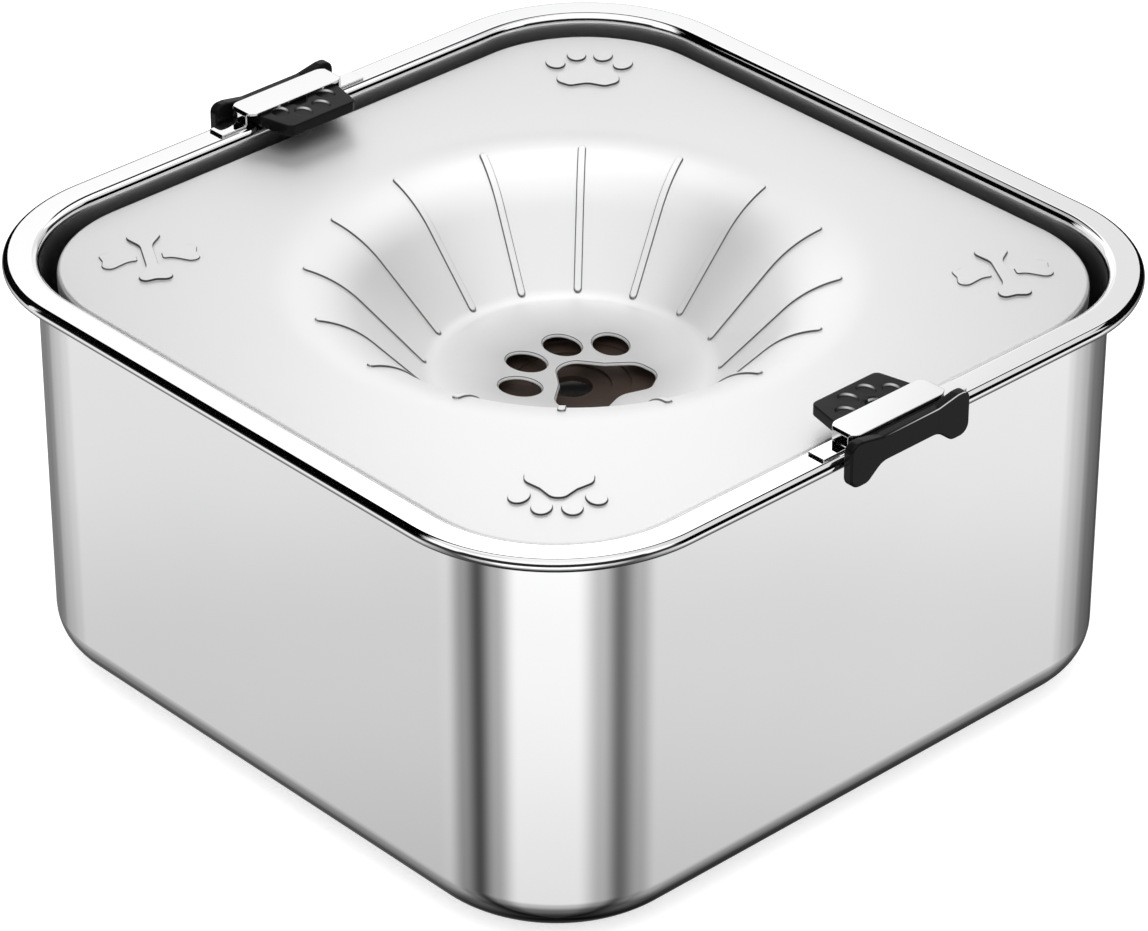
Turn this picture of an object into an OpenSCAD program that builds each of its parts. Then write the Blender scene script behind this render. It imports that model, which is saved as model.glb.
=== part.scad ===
// No-spill water bowl: a deep-drawn square pan, a floating drinking plate and two slide locks.
// Origin under the middle of the base, +Z up, the locks on the +X and -X sides. Millimetres.

/* [Pan] */
// Width over the straight wall
pan_w = 240.6; // [200:0.2:300]
// Corner radius of the wall, seen from above
pan_corner_r = 43.2; // [34:0.2:60]
// Height of the pan from its base to the top of the rim
pan_h = 128.5; // [95:0.5:180]
// Radius of the bottom edge
base_r = 13; // [6:0.5:20]
// Sheet thickness of the pan
pan_sheet = 0.8; // [0.6:0.1:1.2]
// Radius where the wall turns out into the flange
bend_r = 2.4; // [1.6:0.2:3]
// How far the rim stands out from the wall
flange_w = 9.7; // [9:0.1:14]
// Diameter of the rolled edge
bead_d = 4; // [3:0.2:4.4]

/* [Base pads] */
// Diameter of an anti-slip pad
pad_d = 20; // [12:1:28]
// Thickness of a pad
pad_h = 1.5; // [1:0.1:4]
// Distance from the wall to a pad's centre
pad_inset = 36; // [30:1:50]
// Width of the groove pressed into a pad's sole
pad_groove_w = 1.6; // [1:0.1:2]
// Depth of that groove
pad_groove_h = 0.5; // [0.3:0.1:0.8]

/* [Float plate] */
// Gap between the plate's edge and the wall
wall_gap = 3.5; // [2:0.1:6]
// Corner radius of the plate, seen from above
plate_corner_r = 42.3; // [36:0.1:50]
// How far the plate lies below the rim when it floats
float_drop = 4.5; // [3:0.1:12]
// Sheet thickness of the plate
plate_sheet = 1; // [0.8:0.1:1.2]
// Radius of the plate's rounded edge
edge_r = 1.2; // [1.1:0.1:4]
// Radius of the hem that holds the tub
hem_r = 1.6; // [1.4:0.1:2]
// How far the hem reaches under the tub's flange
hem_w = 3.6; // [2:0.1:4.5]

/* [Dish] */
// Depth of the dish below the plate
dish_depth = 32.6; // [24:0.2:40]
// Radius of the dish's flat floor
dish_floor_r = 38.6; // [34:0.2:44]
// Steepness of the dish wall, in degrees
dish_slope = 48; // [40:1:60]
// Radius of the lip that rolls over into the dish
lip_r = 35; // [20:1:38]
// Radius between the dish wall and its floor
dish_fillet_r = 6; // [4:0.5:9]
// Ribs around the dish
rib_count = 16; // [8:1:24]
// Width of a rib
rib_w = 2.6; // [1.6:0.1:4]
// How far a rib stands up
rib_h = 0.7; // [0.4:0.1:1.2]
// Distance from the middle to a rib's inner end
rib_in_r = 41.7; // [40:0.1:46]
// Distance from the middle to a rib's outer end
rib_out_r = 76.8; // [62:0.2:82]

/* [Paws and bones] */
// Size of the corner paws against the paw in the dish
paw_mark_scale = 0.58; // [0.4:0.01:0.7]
// Distance from the plate's edge to the middle of a corner mark
mark_inset = 30; // [26:0.5:36]
// How far the marks stand up
mark_h = 0.7; // [0.4:0.1:1]
// How far the lower of two crossed bones stands up
under_bone_h = 0.45; // [0.2:0.05:0.6]
// Length of a bone
bone_len = 28.8; // [24:0.2:32]
// Width of a bone's shaft
bone_w = 3.5; // [2.6:0.1:4.4]
// Width of a bone over the two knobs of an end
bone_end_w = 9.4; // [8:0.1:11]
// Turn of the crossed bones, in degrees
bone_turn = -30; // [-45:1:45]

/* [Float tub] */
// Wall of the tub
tub_wall = 1.8; // [1.2:0.1:2.4]
// Thickness of the tub's flange
tub_flange_t = 2.5; // [2:0.1:4]
// How far the flange stands out from the tub's wall
tub_flange_w = 5; // [4.6:0.1:8]
// Radius of the tub's bottom edge
tub_base_r = 12; // [6:0.5:16]
// Room between the skirt and the tub's flange
fit_gap = 0.3; // [0.2:0.05:0.6]
// Thickness of the squeezed seals
seal_t = 2; // [1.5:0.1:3]
// Width of the seals
seal_w = 4; // [3:0.1:5]
// Height of the water well under the dish
well_h = 5; // [4.5:0.1:12]
// Inner radius of the water well
well_r = 28.5; // [27:0.5:32]
// Radius of the water inlet
inlet_r = 6; // [5:0.5:8]
// Rings that step down to the inlet
well_steps = 3; // [2:1:4]
// Height of one step
well_step_h = 0.7; // [0.4:0.1:0.9]

/* [Clip bridges] */
// Sheet thickness of a bridge
bridge_t = 0.8; // [0.6:0.1:1]
// Clear height under a bridge
bridge_gap = 3.9; // [3:0.1:6]
// Length of a bridge over its legs
bridge_len = 37; // [34:0.5:48]
// Width of a bridge's roof
bridge_w = 10; // [8:0.2:12]
// Corner radius of the roof, seen from above
bridge_corner_r = 3.6; // [1:0.1:4]
// Radius of the bends in the strap
bridge_bend_r = 2; // [1.2:0.1:2.2]
// Length of a welded foot
foot_len = 9; // [6:0.5:14]
// Width of a foot
foot_w = 6; // [4:0.1:6.4]

/* [Lock slides] */
// Room between a slide and what it runs in
slide_gap = 0.2; // [0.1:0.05:0.4]
// How far a tongue reaches over the plate
tongue_over = 8; // [6:0.2:12]
// Width of a tongue at its tip
tongue_tip_w = 25; // [18:0.5:28]
// Corner radius of the tip
tongue_r = 2.2; // [1:0.1:4]
// Width of the neck under the bridge
neck_w = 30; // [29:0.2:32]
// Gap from the bridge to where the tongue starts to taper
taper_gap = 1; // [0.5:0.1:2]
// How far the lock slides out
lock_travel = 12; // [10:0.5:14]
// Gap between the rim and the grip
grip_gap = 0.5; // [0.3:0.1:2]
// Thickness of the grip
grip_t = 3.2; // [2.4:0.1:5]
// Length of the grip
grip_len = 45.4; // [42:0.2:60]
// Height of the grip's waist
grip_waist_h = 7.9; // [5:0.1:10]
// Length of the grip's waist
grip_waist_len = 21.5; // [16:0.5:24]
// How far the ends of the grip rise above the waist
grip_rise = 1.4; // [1:0.1:4]
// How far the ends of the grip hang below the waist
grip_fall = 4.3; // [3:0.1:6]
// Depth of the paw print sunk into a tongue
print_h = 0.6; // [0.3:0.1:1]
// Size of that paw print against the paw in the dish
print_scale = 0.49; // [0.4:0.01:0.5]
// Distance from a tongue's tip to the middle of its print
print_inset = 11; // [9:0.1:11.1]
// Diameter of a stop stud
stud_d = 3; // [2:0.1:4]
// Height of a stop stud
stud_h = 1.2; // [0.8:0.1:1.6]

/* [Hidden] */
$fn = 64;

// Levels, from the surface that the bowl stands on
base_z = pad_h;
rim_z = pad_h + pan_h;
plate_z = rim_z - float_drop;
dish_z = plate_z - dish_depth;
dish_under_z = dish_z - plate_sheet;
well_z = dish_under_z - well_h;
tub_z = well_z - tub_wall;
flange_top_z = plate_z - plate_sheet - seal_t;
skirt_h = plate_sheet + seal_t + tub_flange_t + plate_sheet;
slide_z = rim_z + slide_gap;
slide_t = bridge_gap - 2 * slide_gap;
slide_top_z = slide_z + slide_t;

// Widths, each from the piece that it fits
rim_w = pan_w + 2 * flange_w;
float_w = pan_w - 2 * pan_sheet - 2 * wall_gap;
tub_flange_edge = plate_sheet + fit_gap;
tub_inset = tub_flange_edge + tub_flange_w;
tub_w = float_w - 2 * tub_inset;
flat_in = bend_r - pan_sheet;
flat_out = flange_w - bead_d / 2;
bridge_x = pan_w / 2 + (flat_in + flat_out) / 2;
mark_at = float_w / 2 - mark_inset;
// How far the two paws and the two pairs of bones stand off that place
paw_shift = [[0.7, 0.7], [-2.6, 3]];
bone_shift = [[-1.5, 2.1], [-0.9, 2.4]];

// Where the dish's lip begins, from its slope, depth and radii
slope_drop = dish_depth - (lip_r + dish_fillet_r) * (1 - cos(dish_slope));
lip_x = dish_floor_r + (lip_r + dish_fillet_r) * sin(dish_slope) + slope_drop / tan(dish_slope);
lip_steps = 8;
fillet_steps = 4;

steel = [0.82, 0.83, 0.84];
satin_steel = [0.9, 0.9, 0.9];
black_plastic = [0.15, 0.15, 0.16];
brown_plastic = [0.16, 0.12, 0.1];
grey_rubber = [0.45, 0.45, 0.46];

function unit(v) = v / norm(v);
function reversed(list) = [for (i = [len(list) - 1:-1:0]) list[i]];
function flat(p) = [p.x, p.y];

// The points of an arc that rounds the corner b between a and c
function corner_arc(a, b, c, r, steps) =
    let (
        u = unit(a - b),
        w = unit(c - b),
        half = acos(u * w) / 2,
        centre = b + unit(u + w) * r / sin(half),
        first = b + u * r / tan(half) - centre,
        last = b + w * r / tan(half) - centre,
        start = atan2(first.y, first.x),
        turn = atan2(first.x * last.y - first.y * last.x, first * last)
    )
    [for (i = [0:steps]) centre + r * [cos(start + turn * i / steps), sin(start + turn * i / steps)]];

// An outline of corners [x, y, radius], each rounded by its own radius
function rounded(corners, steps = 5) =
    let (n = len(corners))
    [for (i = [0:n - 1]) each corner_arc(
        flat(corners[(i + n - 1) % n]), flat(corners[i]), flat(corners[(i + 1) % n]), corners[i].z, steps)];

// The same corners below the X axis, in the order that closes an outline
function mirrored_below(corners) = [for (p = reversed(corners)) [p.x, -p.y, p.z]];

function oval(a, b, steps = 24) = [for (i = [0:steps - 1]) [a * cos(360 * i / steps), b * sin(360 * i / steps)]];

// A quarter of a bent sheet, r over its outside, turned about its centre
module bend(r, t, turn) {
    rotate(turn) intersection() {
        difference() {
            circle(r);
            circle(r - t);
        }
        square(r);
    }
}

module rounded_square(w, r) {
    square([w - 2 * r, w], center = true);
    square([w, w - 2 * r], center = true);
    for (quarter = [0:3]) rotate(90 * quarter) translate([w / 2 - r, w / 2 - r]) intersection() {
        circle(r);
        square(r);
    }
}

// Carries a section round a square path with round corners: x is out from the path, y is height
module swept(w, r) {
    for (quarter = [0:3]) rotate(90 * quarter) {
        translate([w / 2 - r, w / 2 - r, 0]) rotate_extrude(angle = 90) translate([r, 0]) children();
        translate([w / 2, w / 2 - r, 0]) rotate([90, 0, 0]) linear_extrude(w - 2 * r) children();
    }
}

module pan_section() {
    translate([-base_r, base_z + base_r]) bend(base_r, pan_sheet, -90);
    translate([-pan_sheet, base_z + base_r]) square([pan_sheet, pan_h - base_r - bend_r]);
    translate([flat_in, rim_z - bend_r]) bend(bend_r, pan_sheet, 90);
    translate([flat_in, rim_z - pan_sheet]) square([flat_out - flat_in, pan_sheet]);
    translate([flat_out, rim_z - bead_d / 2]) for (turn = [0, -90, -180]) bend(bead_d / 2, pan_sheet, turn);
}

module bowl_pan() {
    color(steel) {
        swept(pan_w, pan_corner_r) pan_section();
        translate([0, 0, base_z]) linear_extrude(pan_sheet)
            rounded_square(pan_w - 2 * base_r, pan_corner_r - base_r);
    }
}

// Pads stand at the four corners of the base, counted from the +X +Y corner
module base_pad(number) {
    at = pan_w / 2 - pad_inset;
    groove_r = pad_d / 4;
    color(grey_rubber) rotate(90 * (number - 1)) translate([at, at, 0]) difference() {
        cylinder(d = pad_d, h = pad_h);
        difference() {
            translate([0, 0, -pad_groove_h]) cylinder(r = groove_r + pad_groove_w / 2, h = 2 * pad_groove_h);
            translate([0, 0, -pad_groove_h]) cylinder(r = groove_r - pad_groove_w / 2, h = 2 * pad_groove_h);
        }
    }
}

// Half of the strap, from the middle of its roof to the end of its foot
module bridge_section() {
    half = bridge_len / 2;
    roof_z = bridge_gap + bridge_t;
    inner_r = bridge_bend_r - bridge_t;
    translate([0, bridge_gap]) square([half - bridge_bend_r, bridge_t]);
    translate([half - bridge_bend_r, roof_z - bridge_bend_r]) bend(bridge_bend_r, bridge_t, 0);
    translate([half - bridge_t, bridge_bend_r]) square([bridge_t, roof_z - 2 * bridge_bend_r]);
    translate([half + inner_r, bridge_bend_r]) bend(bridge_bend_r, bridge_t, 180);
    translate([half + inner_r, 0]) square([foot_len - inner_r, bridge_t]);
}

module bridge_outline() {
    reach = bridge_len / 2 + foot_len;
    corners = [for (sx = [1, -1]) for (sy = [-sx, sx])
        [sx * bridge_w / 2, sy * bridge_len / 2, bridge_corner_r]];
    polygon(rounded(corners));
    square([foot_w, 2 * reach], center = true);
}

module clip_bridge() {
    color(steel) translate([bridge_x, 0, rim_z]) intersection() {
        rotate([90, 0, -90]) translate([0, 0, -bridge_w / 2]) linear_extrude(bridge_w) for (side = [0, 1])
            mirror([side, 0]) bridge_section();
        linear_extrude(bridge_gap + bridge_t) bridge_outline();
    }
}

module stop_stud() {
    color(steel) translate([bridge_x, 0, rim_z]) cylinder(d = stud_d, h = stud_h);
}

// A paw with its toes towards +X, its size set by the water holes in the dish
module paw() {
    toe_a = 6.5;
    toe_b = 5;
    front_toe = [11.8, 7];
    side_toe = [2.7, 17.7];
    front_splay = 6;
    side_splay = 19;
    half_pad = [[3.5, 3, 5.2], [-4.2, 8.6, 4], [-10.2, 16.1, 5.5], [-18.5, 16.4, 5.5], [-23, 9.2, 4]];
    heel_notch = [-19.7, 0, 8];
    polygon(rounded(concat(half_pad, [heel_notch], mirrored_below(half_pad))));
    for (side = [-1, 1]) {
        translate([front_toe.x, side * front_toe.y]) rotate(side * front_splay) polygon(oval(toe_a, toe_b));
        translate([side_toe.x, side * side_toe.y]) rotate(side * side_splay) polygon(oval(toe_a, toe_b));
    }
}

// A bone along X, with a shaft that flares into two knobs at each end
module bone() {
    flare_len = 8.1;
    cheek_len = 3.2;
    swell = 0.2;
    notch_h = 0.9;
    end_x = bone_len / 2;
    end_y = bone_end_w / 2;
    half_end = [
        [end_x - flare_len, -bone_w / 2, 5],
        [end_x - cheek_len, -end_y - swell, 2.5],
        [end_x + swell / 2, -end_y + swell, 2]
    ];
    right = concat(half_end, [[end_x - notch_h, 0, 1.5]], mirrored_below(half_end));
    left = [for (p = right) [-p.x, -p.y, p.z]];
    polygon(rounded(concat(right, left)));
}

// The grip's outline from outside: x runs along the rim and y up from the bottom of its waist
module grip_outline() {
    top = grip_waist_h + grip_rise;
    half = grip_len / 2;
    waist = grip_waist_len / 2;
    crown_len = 4.6;
    sole_len = 6.6;
    waist_r = 6;
    crown_r = 1.6;
    shoulder_r = 2.8;
    sole_r = 3.4;
    right = [
        [waist, 0, waist_r], [half - sole_len, -grip_fall, sole_r], [half, -grip_fall, sole_r],
        [half, top, shoulder_r], [half - crown_len, top, crown_r], [waist, grip_waist_h, waist_r]
    ];
    left = [for (p = reversed(right)) [-p.x, p.y, p.z]];
    polygon(rounded(concat(right, left)));
}

module slide_outline(tip, root, back) {
    polygon(rounded([
        [tip, -tongue_tip_w / 2, tongue_r], [root, -neck_w / 2, tongue_r], [back, -neck_w / 2, grip_t / 4],
        [back, neck_w / 2, grip_t / 4], [root, neck_w / 2, tongue_r], [tip, tongue_tip_w / 2, tongue_r]
    ]));
}

module lock_slide() {
    tip = float_w / 2 - tongue_over;
    root = bridge_x - bridge_w / 2 - taper_gap;
    grip_x = rim_w / 2 + grip_gap;
    groove_r = stud_d / 2 + slide_gap;
    groove_h = stud_h + slide_gap;
    print_x = tip + print_inset;
    color(black_plastic) difference() {
        union() {
            translate([0, 0, slide_z]) linear_extrude(slide_t) slide_outline(tip, root, grip_x + grip_t / 2);
            translate([grip_x, 0, slide_top_z - grip_waist_h]) rotate([90, 0, 90]) linear_extrude(grip_t)
                grip_outline();
        }
        translate([0, 0, slide_z - slide_gap]) linear_extrude(groove_h) {
            for (end = [0, lock_travel]) translate([bridge_x - end, 0]) circle(groove_r);
            translate([bridge_x - lock_travel, -groove_r]) square([lock_travel, 2 * groove_r]);
        }
        translate([print_x, 0, slide_top_z - print_h]) linear_extrude(2 * print_h)
            rotate(180) scale(print_scale) paw();
    }
}

// The dish's surface from the lip to the floor, lifted by d along its normal
function dish_line(d) = concat(
    [for (i = [0:lip_steps]) let (a = 90 + dish_slope * i / lip_steps)
        [lip_x + (lip_r + d) * cos(a), plate_z - lip_r + (lip_r + d) * sin(a)]],
    [for (i = [fillet_steps:-1:0]) let (a = dish_slope * i / fillet_steps - 90)
        [dish_floor_r + (dish_fillet_r - d) * cos(a), dish_z + dish_fillet_r + (dish_fillet_r - d) * sin(a)]]);

module dish() {
    rotate_extrude() polygon(concat(
        dish_line(0), [[0, dish_z], [0, dish_under_z]], reversed(dish_line(-plate_sheet))));
}

module ribs() {
    intersection() {
        rotate_extrude() polygon(concat(dish_line(rib_h), reversed(dish_line(-plate_sheet / 2))));
        translate([0, 0, dish_z]) linear_extrude(dish_depth) for (i = [0:rib_count - 1])
            rotate(360 * i / rib_count) {
                for (end = [rib_in_r, rib_out_r]) translate([end + sign(rib_in_r - end + 1) * rib_w / 2, 0])
                    circle(rib_w / 2);
                translate([rib_in_r + rib_w / 2, -rib_w / 2]) square([rib_out_r - rib_in_r - rib_w, rib_w]);
            }
    }
}

module corner_marks() {
    sunk = plate_sheet / 2;
    for (i = [0, 1]) {
        side = 1 - 2 * i;
        paw_at = side * [mark_at, -mark_at] + paw_shift[i];
        bones_at = side * [mark_at, mark_at] + bone_shift[i];
        translate([paw_at.x, paw_at.y, plate_z - sunk]) linear_extrude(sunk + mark_h)
            rotate(180 * i - 45) scale(paw_mark_scale) paw();
        translate([bones_at.x, bones_at.y, plate_z - sunk]) {
            linear_extrude(sunk + mark_h) rotate(bone_turn) bone();
            linear_extrude(sunk + under_bone_h) rotate(bone_turn + 90) bone();
        }
    }
}

module plate_edge_section() {
    hem_z = plate_z - skirt_h;
    translate([-edge_r, plate_z - edge_r]) bend(edge_r, plate_sheet, 0);
    translate([-plate_sheet, hem_z + hem_r]) square([plate_sheet, skirt_h - hem_r - edge_r]);
    translate([-hem_r, hem_z + hem_r]) bend(hem_r, plate_sheet, -90);
    translate([-plate_sheet - hem_w, hem_z]) square([plate_sheet + hem_w - hem_r, plate_sheet]);
}

module float_plate() {
    color(satin_steel) {
        swept(float_w, plate_corner_r) plate_edge_section();
        translate([0, 0, plate_z - plate_sheet]) linear_extrude(plate_sheet) difference() {
            rounded_square(float_w - 2 * edge_r, plate_corner_r - edge_r);
            circle(lip_x);
        }
        difference() {
            dish();
            translate([0, 0, dish_under_z - plate_sheet]) linear_extrude(3 * plate_sheet) rotate(180) paw();
        }
        ribs();
        corner_marks();
    }
}

module tub_section() {
    floor_z = tub_z + tub_base_r;
    translate([0, flange_top_z - tub_flange_t]) square([tub_flange_w, tub_flange_t]);
    translate([-tub_wall, floor_z]) square([tub_wall, flange_top_z - floor_z]);
    translate([-tub_base_r, floor_z]) bend(tub_base_r, tub_wall, -90);
}

// Rings that step down from the well's wall to the inlet
module well_rings() {
    ring_w = (well_r - inlet_r) / (well_steps + 1);
    for (i = [1:well_steps]) rotate_extrude()
        translate([inlet_r + i * ring_w, well_z]) square([well_r - inlet_r - i * ring_w, i * well_step_h]);
}

module float_tub() {
    color(brown_plastic) {
        swept(tub_w, plate_corner_r - tub_inset) tub_section();
        translate([0, 0, tub_z]) linear_extrude(tub_wall) difference() {
            rounded_square(tub_w - 2 * tub_base_r, plate_corner_r - tub_inset - tub_base_r);
            circle(inlet_r);
        }
        well_rings();
        rotate_extrude() translate([well_r, well_z]) square([tub_wall, well_h - seal_t]);
    }
}

module outer_seal() {
    color(grey_rubber) swept(tub_w, plate_corner_r - tub_inset)
        translate([-tub_wall, flange_top_z]) square([seal_w, seal_t]);
}

module inner_seal() {
    middle = well_r + tub_wall / 2;
    color(grey_rubber) rotate_extrude()
        translate([middle - seal_w / 2, dish_under_z - seal_t]) square([seal_w, seal_t]);
}

bowl_pan();
base_pad(1);  // base_pad_1
base_pad(2);  // base_pad_2
base_pad(3);  // base_pad_3
base_pad(4);  // base_pad_4
clip_bridge();  // clip_bridge_right
rotate(180) clip_bridge();  // clip_bridge_left
stop_stud();  // stop_stud_right
rotate(180) stop_stud();  // stop_stud_left
lock_slide();  // lock_slide_right
rotate(180) lock_slide();  // lock_slide_left
float_plate();
float_tub();
outer_seal();
inner_seal();
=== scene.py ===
import math

import bmesh
import bpy
import numpy as np
from mathutils import Matrix, Vector
from mathutils.geometry import delaunay_2d_cdt


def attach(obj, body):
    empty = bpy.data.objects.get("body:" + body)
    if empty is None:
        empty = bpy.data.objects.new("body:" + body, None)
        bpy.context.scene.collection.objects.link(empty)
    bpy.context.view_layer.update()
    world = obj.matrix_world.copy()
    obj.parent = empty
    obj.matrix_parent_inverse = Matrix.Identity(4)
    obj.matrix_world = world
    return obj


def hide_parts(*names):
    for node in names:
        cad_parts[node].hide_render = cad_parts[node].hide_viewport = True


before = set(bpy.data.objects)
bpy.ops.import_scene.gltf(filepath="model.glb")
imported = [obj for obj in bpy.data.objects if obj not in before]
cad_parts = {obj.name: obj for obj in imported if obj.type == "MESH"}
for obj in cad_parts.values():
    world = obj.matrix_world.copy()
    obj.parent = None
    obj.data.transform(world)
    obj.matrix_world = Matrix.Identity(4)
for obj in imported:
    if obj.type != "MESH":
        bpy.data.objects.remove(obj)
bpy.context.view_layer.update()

# Pan
# One deep drawing in stainless sheet: a square tub with round corners, a flat flange and a rolled edge.
# It is polished outside and over the rim and left duller inside, with a darker colour there as painted
# shade; the fine lines of the polishing wheel run round the wall.

MM = 0.001
pan_w, pan_corner_r, pan_h = 240.6, 43.2, 128.5
base_z, base_r, pan_sheet = 1.5, 13.0, 0.8
bend_r, flange_w, bead_r = 2.4, 9.7, 2.0
dull_drop = 0.8
rim_z = base_z + pan_h
flat_in, flat_out = bend_r - pan_sheet, flange_w - bead_r


def arc(centre, r, start, end, steps):
    """Points of an arc from one angle to another, in degrees."""
    return [
        (centre[0] + r * math.cos(a), centre[1] + r * math.sin(a))
        for a in np.radians(np.linspace(start, end, steps + 1))
    ]


def tree_input(tree, name, kind):
    """A named input of a node tree."""
    return tree.interface.new_socket(name, in_out="INPUT", socket_type=kind)


def sheet_round_square():
    """The tree that carries a sheet's section round a square path with round corners."""
    tree = bpy.data.node_groups.new("sheet_round_square", "GeometryNodeTree")
    tree_input(tree, "Section", "NodeSocketGeometry")
    tree_input(tree, "Width", "NodeSocketFloat")
    tree_input(tree, "Corner radius", "NodeSocketFloat")
    tree_input(tree, "Corner steps", "NodeSocketInt")
    tree_input(tree, "Finish", "NodeSocketMaterial")
    tree.interface.new_socket("Sheet", in_out="OUTPUT", socket_type="NodeSocketGeometry")
    node, link = tree.nodes.new, tree.links.new
    given, made = node("NodeGroupInput"), node("NodeGroupOutput")
    section = node("GeometryNodeMeshToCurve")
    square = node("GeometryNodeCurvePrimitiveQuadrilateral")
    corners = node("GeometryNodeFilletCurve")
    corners.mode = "POLY"
    sweep = node("GeometryNodeCurveToMesh")
    whole = node("GeometryNodeRealizeInstances")
    finish = node("GeometryNodeSetMaterial")
    link(given.outputs["Section"], section.inputs["Mesh"])
    link(given.outputs["Width"], square.inputs["Width"])
    link(given.outputs["Width"], square.inputs["Height"])
    link(square.outputs["Curve"], corners.inputs["Curve"])
    link(given.outputs["Corner radius"], corners.inputs["Radius"])
    link(given.outputs["Corner steps"], corners.inputs["Count"])
    link(corners.outputs["Curve"], sweep.inputs["Curve"])
    link(section.outputs["Curve"], sweep.inputs["Profile Curve"])
    link(sweep.outputs["Mesh"], whole.inputs["Geometry"])
    link(whole.outputs["Geometry"], finish.inputs["Geometry"])
    link(given.outputs["Finish"], finish.inputs["Material"])
    link(finish.outputs["Geometry"], made.inputs["Sheet"])
    return tree


def added(name, data):
    """A new object in the scene that shows a mesh, a lamp or a camera."""
    made = bpy.data.objects.new(name, data)
    bpy.context.scene.collection.objects.link(made)
    return made


def evaluated(source):
    """The plain mesh of an object with its modifiers applied; the object goes."""
    made = bpy.data.meshes.new_from_object(source.evaluated_get(bpy.context.evaluated_depsgraph_get()))
    bpy.data.objects.remove(source)
    return made


def grown(name, mesh, tree, **values):
    """The plain mesh that a tree makes from a mesh, with the tree's inputs set by name."""
    source = added(name, mesh)
    nodes = source.modifiers.new(name, "NODES")
    nodes.node_group = tree
    for item in tree.interface.items_tree:
        key = item.name.replace(" ", "_").lower()
        if item.item_type == "SOCKET" and item.in_out == "INPUT" and key in values:
            nodes[item.identifier] = values[key]
    return evaluated(source)


def masked(mesh, name, values):
    """A mesh with a mask of its own, one value for each point."""
    mesh.attributes.new(name, "FLOAT", "POINT").data.foreach_set("value", values)
    return mesh


def section_line(name, points, dull_and_shaded=None):
    """A sheet's section as a line of edges, in metres: x is out from the path and -y is up."""
    mesh = bpy.data.meshes.new(name)
    steps = [(i, i + 1) for i in range(len(points) - 1)]
    mesh.from_pydata([(x * MM, -y * MM, 0) for x, y in points], steps, [])
    return masked(mesh, "dull_and_shaded", dull_and_shaded or [0.0] * len(points))


def shaded(mesh, angle=35):
    """Smooth shading, broken at edges sharper than an angle in degrees."""
    mesh.polygons.foreach_set("use_smooth", [True] * len(mesh.polygons))
    mesh.set_sharp_from_angle(angle=math.radians(angle))
    return mesh


def dressed(name, mesh, finish, slot, body, *nodes):
    """A finished piece: it rides on its body, stands for its CAD nodes and takes the finish it is given;
    its slot is not used.
    """
    mesh.materials.clear()
    mesh.materials.append(finish)
    made = added(name, mesh)
    even = made.modifiers.new("even_shading", "WEIGHTED_NORMAL")
    even.mode, even.keep_sharp = "FACE_AREA", True
    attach(made, body)
    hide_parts(*nodes)
    return made


def shader_group(name, inputs, outputs):
    """An empty shader node group with named values in and out."""
    group = bpy.data.node_groups.new(name, "ShaderNodeTree")
    for label, default in inputs.items():
        socket = group.interface.new_socket(label, in_out="INPUT", socket_type="NodeSocketFloat")
        socket.default_value = default
    for label in outputs:
        group.interface.new_socket(label, in_out="OUTPUT", socket_type="NodeSocketFloat")
    return group, group.nodes.new("NodeGroupInput"), group.nodes.new("NodeGroupOutput")


def polishing_lines():
    """Fine lines left round the wall by a polishing wheel, and the cloudy gloss between them."""
    group, given, made = shader_group(
        "polishing_lines", {"Line scale": 900.0, "Cloud scale": 14.0}, ("Lines", "Clouds"))
    node, link = group.nodes.new, group.links.new
    place = node("ShaderNodeTexCoord")
    stretch = node("ShaderNodeVectorMath")
    stretch.operation = "MULTIPLY"
    stretch.inputs[1].default_value = (0.02, 0.02, 1.0)
    lines, clouds = node("ShaderNodeTexNoise"), node("ShaderNodeTexNoise")
    lines.inputs["Detail"].default_value = 3.0
    clouds.inputs["Detail"].default_value = 4.0
    link(place.outputs["Object"], stretch.inputs[0])
    link(stretch.outputs["Vector"], lines.inputs["Vector"])
    link(place.outputs["Object"], clouds.inputs["Vector"])
    link(given.outputs["Line scale"], lines.inputs["Scale"])
    link(given.outputs["Cloud scale"], clouds.inputs["Scale"])
    link(lines.outputs["Fac"], made.inputs["Lines"])
    link(clouds.outputs["Fac"], made.inputs["Clouds"])
    return group


def new_finish(name):
    """A material with its Principled shader, and the means to add nodes to it."""
    material = bpy.data.materials.new(name)
    material.use_nodes = True
    return material, material.node_tree.nodes, material.node_tree.links


def between(nodes, links, source, low, high):
    """A mask spread over a range of values."""
    spread = nodes.new("ShaderNodeMapRange")
    spread.inputs["To Min"].default_value, spread.inputs["To Max"].default_value = low, high
    links.new(source, spread.inputs["Value"])
    return spread.outputs["Result"]


def tinted(nodes, links, source, low, high):
    """A mask turned into a run of colour from one tone to another."""
    ramp = nodes.new("ShaderNodeValToRGB")
    ramp.color_ramp.elements[0].color = (*low, 1)
    ramp.color_ramp.elements[1].color = (*high, 1)
    links.new(source, ramp.inputs["Fac"])
    return ramp.outputs["Color"]


def mixed(nodes, links, mask, first, second):
    """A colour that goes from a first, a socket, to a second, a tone, by a mask."""
    blend = nodes.new("ShaderNodeMix")
    blend.data_type = "RGBA"
    blend.inputs["B"].default_value = (*second, 1)
    links.new(mask, blend.inputs["Factor"])
    links.new(first, blend.inputs["A"])
    return blend.outputs["Result"]


def own_mask(nodes, name):
    """The mask that a piece's points carry."""
    mask = nodes.new("ShaderNodeAttribute")
    mask.attribute_name = name
    return mask.outputs["Fac"]


def relief(nodes, links, source, strength, depth):
    """A height mask as a bump of a given depth in metres."""
    bump = nodes.new("ShaderNodeBump")
    bump.inputs["Strength"].default_value = strength
    bump.inputs["Distance"].default_value = depth
    links.new(source, bump.inputs["Height"])
    return bump.outputs["Normal"]


wheel_lines = polishing_lines()


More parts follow.
